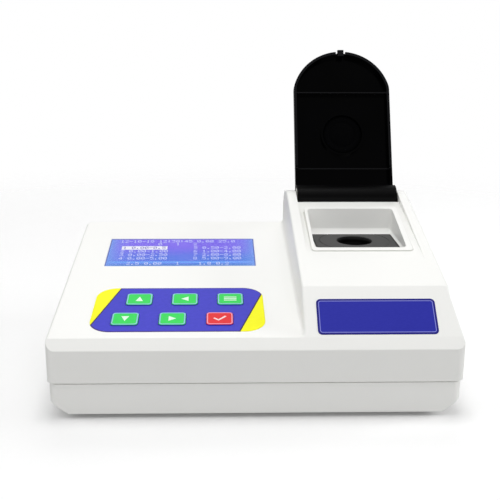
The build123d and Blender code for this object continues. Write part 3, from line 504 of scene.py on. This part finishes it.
def keypad_print():
    """Blue film, with a dark line and a yellow corner at its upper left and its lower right."""
    finish = Finish("keypad_print", Specular_IOR_Level=0.12)
    face = Face("keypad_overlay", PANEL_SIDE)
    across, along = finish.from_middle(face)
    speckle = finish.cloud(3 * MM, 4.0)
    field = finish.blend(speckle, ink(56, 57, 188), ink(74, 71, 207))
    edge = finish.from_edge(face, corner=14.0 * MM)
    field = finish.blend(edge.ramp(-0.75 * MM, -0.45 * MM), field, ink(66, 40, 120))
    yellow = finish.blend(speckle, ink(250, 246, 0), ink(255, 255, 24))
    # The line that cuts off each corner, by two points in millimetres from the film's middle,
    # and on which side of the line the corner is
    cuts = (((-41.2, 31.3), (-54.6, -16.6), 1), ((55.7, 18.7), (40.1, -31.7), -1))
    for (x, y), (u, v), side in cuts:
        length = hypot(u - x, v - y)
        p, q = (v - y) / length * side, -(u - x) / length * side
        beyond = across * p + along * q - (x * p + y * q) * MM
        field = finish.blend(beyond.ramp(-0.6 * MM, -0.5 * MM), field, ink(50, 38, 66))
        field = finish.blend(beyond.ramp(0.3 * MM, 0.4 * MM), field, yellow)
    finish.set(Base_Color=field, Roughness=speckle * 0.1 + 0.42)
    return finish.relief(finish.cloud(0.4 * MM), 0.004 * MM)


def plate_print():
    """Blue anodised name plate with a pale line inside its edge, otherwise bare."""
    finish = Finish("plate_print", Specular_IOR_Level=0.12)
    edge = finish.from_edge(Face("name_plate", NOSE_SIDE), corner=3.0 * MM)
    fine = finish.cloud(0.35 * MM, FINE_DETAIL, (0.15, 1, 1))
    field = finish.blend(fine, ink(38, 42, 156), ink(48, 52, 172))
    field = finish.blend(edge.ramp(-1.5 * MM, -1.1 * MM), field, ink(36, 34, 128))
    line = 1 - abs(edge + 1.55 * MM).ramp(0.14 * MM, 0.3 * MM)
    field = finish.blend(line, field, ink(142, 146, 222))
    finish.set(Base_Color=field, Roughness=fine * 0.12 + 0.4)
    return finish.relief(fine, 0.003 * MM)


def backlit(name):
    """The start of a finish for the display: dark, with light from behind still to be added."""
    finish = Finish(name, Base_Color=ink(20, 20, 40), Roughness=0.5, Emission_Strength=0.95)
    return finish.set(Specular_IOR_Level=0.05)


def lit_display():
    """Lit picture: violet above, bluer below and at its sides, with a pale line near its foot."""
    finish = backlit("lit_display")
    face = Face("display_window", PANEL_SIDE)
    across, along = finish.from_middle(face)
    down = 0.5 - along * (1 / face.length)
    drift = finish.cloud(28 * MM).ramp(0.35, 0.75) * 0.4
    pale_line = 1 - abs(down - 0.86).ramp(0.02, 0.05)
    foot = down.ramp(0.9, 0.94)
    sides = ((abs(across) * (2 / face.width)) ** 8).at_most(1.0)
    glow = finish.blend(down.ramp(0.25, 0.8), ink(121, 98, 235), ink(70, 119, 226))
    glow = finish.blend(drift, glow, ink(144, 120, 247))
    glow = finish.blend(pale_line, glow, ink(102, 161, 248))
    glow = finish.blend(foot, glow, ink(78, 134, 212))
    glow = finish.blend(sides, glow, ink(114, 158, 234))
    half_dot = 0.25 * MM
    from_gap = [place.reckon("PINGPONG", place, half_dot) for place in (across, along)]
    dots = from_gap[0].at_most(from_gap[1]).ramp(0.0, 0.08 * MM)
    gap_depth = 0.06
    glow = finish.blend(dots * gap_depth + (1 - gap_depth), ink(70, 70, 170), glow)
    rim = finish.from_edge(face, corner=0.4 * MM).ramp(-0.9 * MM, -0.4 * MM)
    return finish.set(Emission_Color=finish.blend(rim, glow, ink(88, 96, 172)))


def glowing(name, colour):
    """Lit dots of the display."""
    finish = backlit(name)
    drift = finish.cloud(6 * MM)
    return finish.set(Emission_Color=finish.blend(drift, scaled(colour, 0.9), colour))


# Painted shade along the foot of the bead round the well, on the cover
shade_bead_foot(cover_white)
lid_black = lid_gloss()
key_green = key_plastic("key_green", ink(50, 222, 92))
key_red = key_plastic("key_red", ink(236, 38, 46))
display_blue = lit_display()
dots_pale = glowing("display_dots", ink(212, 218, 255))
row_white = glowing("display_chosen_white", ink(248, 248, 255))
dots_dark = glowing("display_dots_dark", ink(84, 78, 190))

finishes = {
    "top_cover": cover_white,
    "base_tray": tray_white,
    "rod_plug": case_white,
    "lid": lid_black,
    "lid_pad": foam,
    "lid_bushes": bush_white,
    "hinge_rod": steel,
    "rubber_feet": rubber,
    "display_window": window_clear,
    "display_frame": frame_black,
    "display_glass": display_blue,
    "display_board": board_green,
    "key_board": board_green,
    "main_board": board_green,
    "lamp_board": board_green,
    "sensor_board": board_green,
    "keypad_overlay": keypad_print(),
    "key_up": key_green,
    "key_left": key_green,
    "key_select": key_green,
    "key_down": key_green,
    "key_right": key_green,
    "key_confirm": key_red,
    "key_switches": chip_black,
    "name_plate": plate_print(),
    "deck_plate": deck_grey(),
    "cell_holder": holder_black,
    "lamp_lens": lens_glass,
    "light_filter": filter_glass,
    "light_sensor": chip_black,
    "lamp": lens_glass,
    "board_chips": chip_black,
    "power_module": module_grey,
    "power_inlet": socket_black,
    "inlet_blades": brass,
    "power_switch_frame": socket_black,
    "power_rocker": rocker_black,
    "data_port": port_pale,
    "case_screws": screw_steel,
    "board_screws": screw_steel,
    "holder_screws": screw_steel,
    "module_screws": screw_steel,
}
assert set(finishes) == set(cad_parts), set(finishes) ^ set(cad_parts)
for node, finish in finishes.items():
    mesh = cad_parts[node].data
    mesh.materials.clear()
    mesh.materials.append(finish.material)


# Key prints: a pale border and a generic symbol on each key

PRINT_TOP, PRINT_BOTTOM = 0.06 * MM, -0.05 * MM


def arrow(turns):
    """A solid triangle that points up, turned to the left by a number of quarter turns."""
    half, rise = 2.5 * MM, 3.2 * MM
    corners = [(-half, -rise), (half, -rise), (0, rise)]
    if turns % 2:
        corners = [(half, -rise), (half, rise), (-half, 0)]
    if turns > 1:
        corners = [(-x, -y) for x, y in corners]
    return [corners]


def menu_bars():
    """Three lines, as for a list."""
    pitch, width, thickness = 2.3 * MM, 8.6 * MM, 1.1 * MM
    return [bar(0, row * pitch, width, thickness) for row in (-1, 0, 1)]


def tick():
    """A tick, as two strokes that overlap at its foot."""
    short_stroke = (-3.8 * MM, 0.4 * MM), (-0.5 * MM, -2.7 * MM)
    long_stroke = (-1.2 * MM, -2.8 * MM), (4.0 * MM, 2.9 * MM)
    return [stroke(*ends, 1.3 * MM) for ends in (short_stroke, long_stroke)]


def key_prints():
    """The border and the symbol of each key, as pieces that ride on it."""
    symbols = {
        "key_up": arrow(0),
        "key_left": arrow(1),
        "key_select": menu_bars(),
        "key_down": arrow(2),
        "key_right": arrow(3),
        "key_confirm": tick(),
    }
    bare_edge, border_side, border_end = 0.1 * MM, 1.6 * MM, 1.8 * MM
    for key, outlines in symbols.items():
        face = Face(key, PANEL_SIDE)
        width, length = face.width - bare_edge, face.length - bare_edge
        outer = rounded_outline(width, length, 2.3 * MM)
        inner = rounded_outline(width - border_side, length - border_end, 1.5 * MM)
        border = bmesh.new()
        raise_outline(border, face, outer, PRINT_TOP, PRINT_BOTTOM, inner)
        symbol = bmesh.new()
        for outline in outlines:
            raise_outline(symbol, face, outline, PRINT_TOP, PRINT_BOTTOM)
        red = key == "key_confirm"
        piece(key + "_border", border, border_pink if red else border_blue, key)
        piece(key + "_symbol", symbol, confirm_white if red else symbol_white, key)


key_prints()

# Display dots: rows of plain numbers, each character five dots wide and seven high. A number
# holds one column, its lowest bit the upper dot.

DOTS = {
    "0": (62, 81, 73, 69, 62),
    "1": (0, 66, 127, 64, 0),
    "2": (66, 97, 81, 73, 70),
    "3": (33, 65, 69, 75, 49),
    "4": (24, 20, 18, 127, 16),
    "5": (39, 69, 69, 69, 57),
    "6": (60, 74, 73, 73, 48),
    "7": (1, 113, 9, 5, 3),
    "8": (54, 73, 73, 73, 54),
    "9": (6, 73, 73, 41, 30),
    ".": (0, 96, 96, 0, 0),
    ":": (0, 54, 54, 0, 0),
    "-": (8, 8, 8, 8, 8),
}
DOTS_HIGH = 7
CHARACTER_PITCH = 6
DOT_ACROSS = 0.56 * MM
DOT_ALONG = 0.66 * MM
LIT = 0.92


def number_row(shape, face, text, x, y, top, bottom):
    """Adds a row of characters, from its lower left corner. A run of lit dots is one bar."""
    for place, character in enumerate(text):
        for column, bits in enumerate(DOTS.get(character, ())):
            row = 0
            while row < DOTS_HIGH:
                run = 0
                while row + run < DOTS_HIGH and bits >> (row + run) & 1:
                    run += 1
                if run:
                    spot_x = x + (place * CHARACTER_PITCH + column) * DOT_ACROSS
                    spot_y = y + (DOTS_HIGH - row - run / 2) * DOT_ALONG
                    size = (DOT_ACROSS * LIT, (run - 1 + LIT) * DOT_ALONG)
                    raise_outline(shape, face, bar(spot_x, spot_y, *size), top, bottom)
                row += run + 1


def display_prints():
    """The display's picture, its numbers and its chosen row, in layers.

    The window's depth of clear plastic makes its picture look raised, so that it is drawn just
    under the window's outer face and reaches its edges.
    """
    window = Face("display_window", PANEL_SIDE)
    edge_gap, thickness, layer = 0.02 * MM, 0.3 * MM, 0.04 * MM
    picture_top = -0.3 * MM
    dots_top = picture_top + layer
    chosen_top = picture_top + 2 * layer

    def from_corner(x, y):
        """A place in millimetres from the window's lower left corner, as the face has it."""
        return x * MM - window.width / 2, y * MM - window.length / 2

    picture = bmesh.new()
    outline = bar(0, 0, window.width - edge_gap, window.length - edge_gap)
    raise_outline(picture, window, outline, picture_top, picture_top - thickness)
    piece("display_picture", picture, display_blue, "root")

    rows = [
        (8.0, 44.4, "12-10-18 12:30:45 0.00 25.0"),
        (38.0, 39.0, "0"),
        (52.0, 39.0, "1"),
        (65.5, 39.0, "2"),
        (9.5, 25.4, "2 0.00-1.00"),
        (9.5, 18.8, "3 0.00-2.50"),
        (9.5, 12.2, "4 0.00-5.00"),
        (16.0, 2.8, "2.5 0.00"),
        (53.0, 2.8, "1"),
        (70.0, 2.8, "1.8 0.2"),
        (66.0, 32.0, "5 0.50-2.00"),
        (66.0, 25.4, "6 1.00-4.00"),
        (66.0, 18.8, "7 2.00-8.00"),
        (66.0, 12.2, "8 5.00-9.00"),
    ]
    numbers = bmesh.new()
    for x, y, text in rows:
        number_row(numbers, window, text, *from_corner(x, y), dots_top, picture_top)
    piece("display_numbers", numbers, dots_pale, "root")

    chosen_row = bmesh.new()
    bright = bar(*from_corner(27.4, 33.9), 35.4 * MM, 6.6 * MM)
    raise_outline(chosen_row, window, bright, dots_top, picture_top)
    piece("display_chosen_row", chosen_row, row_white, "root")

    chosen = bmesh.new()
    number_row(chosen, window, "1 0.00-0.5", *from_corner(11.0, 31.8), chosen_top, dots_top)
    piece("display_chosen_number", chosen, dots_dark, "root")


display_prints()

# Screws with a cross recess, in place of the plain ones

THREAD_PITCH = 1.1 * MM


def separate_solids(mesh):
    """The points of each separate solid of a mesh."""
    shape = bmesh.new()
    shape.from_mesh(mesh)
    bmesh.ops.remove_doubles(shape, verts=shape.verts, dist=0.001 * MM)
    left, islands = set(shape.verts), []
    while left:
        island, queue = [], [left.pop()]
        while queue:
            vertex = queue.pop()
            island.append(vertex.co.copy())
            for edge in vertex.link_edges:
                other = edge.other_vert(vertex)
                if other in left:
                    left.remove(other)
                    queue.append(other)
        islands.append(island)
    shape.free()
    return islands


def screws(name, node):
    """Screws for each solid of a CAD node: domed head, cross recess and a cut thread."""
    made = bmesh.new()
    for island in separate_solids(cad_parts[node].data):
        low = Vector(min(point[i] for point in island) for i in range(3))
        high = Vector(max(point[i] for point in island) for i in range(3))
        middle = (low + high) / 2
        # Points lie on the head's rim, round the shank, or on the screw's own line
        radii = [hypot(point.x - middle.x, point.y - middle.y) for point in island]
        head = max(radii)
        shank = min(radius for radius in radii if radius > 0.3 * head)
        heads = [point.z for point, radius in zip(island, radii) if radius > 0.95 * head]
        head_is_up = max(heads) > middle.z + (high.z - low.z) / 4
        if head_is_up:
            end, seat, tip = high.z, min(heads), low.z
        else:
            end, seat, tip = low.z, max(heads), high.z
        cross_screw(made, middle, end, seat, tip, head, shank)
    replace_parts(piece(name, made, screw_steel, "root", True), node)


def cross_screw(shape, middle, end, seat, tip, head, shank):
    """One screw along Z, from the outside of its head to its tip, with the two radii."""
    sides = 24
    inward = 1 if tip > end else -1
    height = abs(seat - end)
    arm, blade = head * 0.55, head * 0.13
    angles = [2 * pi * i / sides for i in range(sides)]

    def ring(depth, places):
        """Points round the screw's line at a depth, each from its reach and angle."""
        z = end + inward * depth
        return [
            shape.verts.new((middle.x + reach * cos(angle), middle.y + reach * sin(angle), z))
            for reach, angle in places
        ]

    def turned(radius, depth):
        """A ring that is round, as the head and the thread are."""
        return ring(depth, [(radius, angle) for angle in angles])

    def cross(depth, shrink):
        """Outline of the recess: three points at the end of each arm, and the rest between."""
        places = []
        for i, angle in enumerate(angles):
            off_arm = (i + sides // 8) % (sides // 4) - sides // 8
            if abs(off_arm) <= 1:
                turn = angle + off_arm * (blade / arm - 2 * pi / sides)
                places.append((arm * shrink, turn))
            else:
                places.append((blade * 1.6 * shrink, angle))
        return ring(depth, places)

    # Shares of the head's radius and height
    dome = [(0.72, 0.0), (0.93, 0.2), (1.0, 0.55), (1.0, 1.0)]
    rings = [cross(height * 0.55, 0.7), cross(height * 0.02, 1.0)]
    rings += [turned(head * reach, height * depth) for reach, depth in dome]
    rings.append(turned(shank, height))
    thread_root, point = shank * 0.78, shank * 0.25
    turns = max(3, int((abs(tip - seat) - shank) / THREAD_PITCH))
    for turn in range(turns):
        depth = height + (turn + 0.5) * THREAD_PITCH
        rings.append(turned(shank, depth))
        rings.append(turned(thread_root, depth + THREAD_PITCH / 2))
    rings.append(turned(point, abs(tip - end)))
    for first, second in zip(rings, rings[1:]):
        join(shape, first, second)
    for last in (rings[0], rings[-1]):
        join(shape, last, [shape.verts.new((middle.x, middle.y, last[0].co.z))])


for name, node in (
    ("case_cross_screws", "case_screws"),
    ("board_cross_screws", "board_screws"),
    ("holder_cross_screws", "holder_screws"),
    ("module_cross_screws", "module_screws"),
):
    screws(name, node)

# Forms of the lid, the rocker and the well that the plain model lacks

ROUND_SIDES = 64


def seal_pad():
    """Foam ring cushion in the lid's boss, crowned, in place of the plain disc."""
    face = Face("lid_pad", FRONT)
    radius, thickness = face.width / 2, 2.4 * MM
    # Shares of the radius and the thickness, from the middle of the front to that of the back
    profile = [
        (0.0, 0.0), (0.35, 0.02), (0.6, 0.0), (0.66, -0.28), (0.72, 0.0), (0.86, -0.02),
        (0.95, -0.12), (0.99, -0.35), (1.0, -0.62), (0.985, -0.9), (0.9, -1.0), (0.0, -1.0),
    ]
    shape = bmesh.new()
    rings = []
    for reach, depth in profile:
        outline = round_outline(radius * reach, ROUND_SIDES) if reach else [(0, 0)]
        rings.append([shape.verts.new(face.at(x, y, depth * thickness)) for x, y in outline])
    join(shape, rings[1], rings[0])
    for first, second in zip(rings[1:], rings[2:]):
        join(shape, first, second)
    pad = piece("seal_pad", shape, foam, "lid", True)
    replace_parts(pad, "lid_pad")


def rocker_marks():
    """Marks on the power rocker: a line for on and a ring for off."""
    shape = bmesh.new()
    tilt = radians(16)
    square_on = 0.99
    upper = Face("power_rocker", Vector((0, cos(tilt), -sin(tilt))), square_on)
    lower = Face("power_rocker", Vector((0, 1, 0)), square_on)
    height, thickness = 3.4 * MM, 0.7 * MM
    raise_outline(shape, upper, bar(0, 0, thickness, height), PRINT_TOP, PRINT_BOTTOM)
    outer = rounded_outline(height, height, height / 2, 8)
    inner = rounded_outline(2.2 * MM, 2.2 * MM, 1.1 * MM, 8)
    raise_outline(shape, lower, outer, PRINT_TOP, PRINT_BOTTOM, inner)
    piece("rocker_marks", shape, marks_white, "power_rocker")


def well_slope():
    """White bed round the deck plate, that slopes up to the well's walls."""
    plate = Face("deck_plate", UP)
    plate_thickness, plate_gap = 1.8 * MM, 0.2 * MM
    sunk = 0.05 * MM
    side_width, end_width, rise = 2.1 * MM, 3.9 * MM, 4.2 * MM
    width, length = plate.width, plate.length
    inner = rounded_outline(width + plate_gap, length + plate_gap, 1.6 * MM)
    outer = rounded_outline(
        width + 2 * (side_width + sunk), length + 2 * (end_width + sunk), 3.0 * MM
    )
    # Shares of the way from the plate to the wall, and of the rise
    profile = [(0, 0), (0.08, 0.0), (0.2, 0.06), (0.35, 0.18), (0.9, 0.76), (0.97, 0.87), (1, 1)]
    rings = [
        [
            plate.at(x + (u - x) * share, y + (v - y) * share, rise * height)
            for (x, y), (u, v) in zip(inner, outer)
        ]
        for share, height in profile
    ]
    for outline in (outer, inner):
        rings.append([plate.at(x, y, -plate_thickness - sunk) for x, y in outline])
    shape = bmesh.new()
    closed_rings(shape, rings)
    piece("well_slope", shape, case_white, "root", True)


def cell_collar():
    """Black collar of the cell holder, that lines the hole through the well's floor."""
    low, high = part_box("cell_holder")
    middle = Vector(((low[0] + high[0]) / 2, (low[1] + high[1]) / 2, high[2]))
    inner, outer, height = 12.8 * MM, 13.25 * MM, 3.9 * MM
    profile = [(outer, height), (outer, 0), (inner, 0), (inner, height)]
    rings = [
        [middle + Vector((x, y, rise)) for x, y in round_outline(reach, ROUND_SIDES)]
        for reach, rise in profile
    ]
    shape = bmesh.new()
    closed_rings(shape, rings)
    piece("cell_collar", shape, holder_black, "root", True)


seal_pad()
rocker_marks()
well_slope()
cell_collar()

# Floor, light and camera

TABLE_BOUNCE = 0.5
TABLE_HALF = 2.0
FADE_START, FADE_END = 0.35, 0.85
LIGHTS_AIM = Vector((0, 0, 0.05))
ROOM_LIGHT = 0.315


def table_top():
    """White table top that fades into the white background, and throws less light back."""
    finish = Finish("table_white", Roughness=0.6, Specular_IOR_Level=0.0)
    grain = finish.cloud(4 * MM, FINE_DETAIL)
    finish.set(Base_Color=finish.blend(grain, ink(252, 252, 252), ink(254, 254, 254)))
    duller = finish.add("ShaderNodeBsdfDiffuse", None, {"Color": (TABLE_BOUNCE,) * 3 + (1.0,)})
    looked_at = finish.add("ShaderNodeLightPath", output="Is Camera Ray")
    sockets = {0: looked_at, 1: duller, 2: finish.shader}
    plain = finish.add("ShaderNodeMixShader", None, sockets)
    reach = finish.add("ShaderNodeVectorMath", {"operation": "LENGTH"}, {0: finish.point}, "Value")
    nothing = finish.add("ShaderNodeBsdfTransparent")
    sockets = {0: reach.ramp(FADE_START, FADE_END), 1: plain, 2: nothing}
    finish.feed(finish.output.inputs["Surface"], finish.add("ShaderNodeMixShader", None, sockets))
    shape = bmesh.new()
    corners = [(-TABLE_HALF, -TABLE_HALF), (TABLE_HALF, -TABLE_HALF),
               (TABLE_HALF, TABLE_HALF), (-TABLE_HALF, TABLE_HALF)]
    shape.faces.new([shape.verts.new((x, y, 0)) for x, y in corners])
    placed("table_top", shape, finish)


def soft_light(name, place, width, height, power):
    """A rectangular softbox that looks at the middle of the object."""
    light = bpy.data.lights.new(name, "AREA")
    light.shape = "RECTANGLE"
    light.size, light.size_y = width, height
    light.energy = power
    lamp = bpy.data.objects.new(name, light)
    lamp.location = place
    lamp.rotation_euler = (LIGHTS_AIM - Vector(place)).to_track_quat("-Z", "Y").to_euler()
    bpy.context.scene.collection.objects.link(lamp)


def white_room():
    """White background, with a dimmer even light on the object."""
    world = bpy.data.worlds.new("white_room")
    world.use_nodes = True
    tree = world.node_tree
    tree.nodes.clear()
    output = tree.nodes.new("ShaderNodeOutputWorld")
    rays = tree.nodes.new("ShaderNodeLightPath")
    mix = tree.nodes.new("ShaderNodeMixShader")
    tree.links.new(rays.outputs["Is Camera Ray"], mix.inputs[0])
    for place, strength in ((1, ROOM_LIGHT), (2, 1.0)):
        background = tree.nodes.new("ShaderNodeBackground")
        background.inputs["Color"].default_value = (1, 1, 1, 1)
        background.inputs["Strength"].default_value = strength
        tree.links.new(background.outputs[0], mix.inputs[place])
    tree.links.new(mix.outputs[0], output.inputs["Surface"])
    bpy.context.scene.world = world


def photo_camera():
    """Camera at the photograph's angle."""
    lens = bpy.data.cameras.new("camera")
    lens.sensor_width = 36.0
    lens.lens = 61.4
    lens.shift_x = 0.02354
    lens.shift_y = -0.0012
    camera = bpy.data.objects.new("camera", lens)
    place = Matrix.Translation((-0.02498, -0.61515, 0.25036))
    yaw = Matrix.Rotation(radians(-1.49), 4, "Z")
    pitch = Matrix.Rotation(radians(74.48), 4, "X")
    roll = Matrix.Rotation(radians(0.26), 4, "Z")
    camera.matrix_world = place @ yaw @ pitch @ roll
    bpy.context.scene.collection.objects.link(camera)
    bpy.context.scene.camera = camera


table_top()
white_room()
soft_light("front_high_light", (0, -0.6, 1.45), width=1.4, height=0.4, power=2.6)
soft_light("front_low_light", (0, -1.5, 0.5), width=1.4, height=0.4, power=5.9)
soft_light("left_light", (-1.0, -0.1, 1.1), width=0.8, height=1.2, power=3.9)
soft_light("right_low_light", (1.1, 0.05, 0.42), width=0.5, height=0.4, power=4.7)
soft_light("top_light", (0.0, 0.05, 1.5), width=0.5, height=0.5, power=5.2)
soft_light("back_light", (0.0, 1.2, 1.2), width=1.4, height=0.8, power=6.2)
photo_camera()
bpy.context.scene.view_settings.view_transform = "Standard"
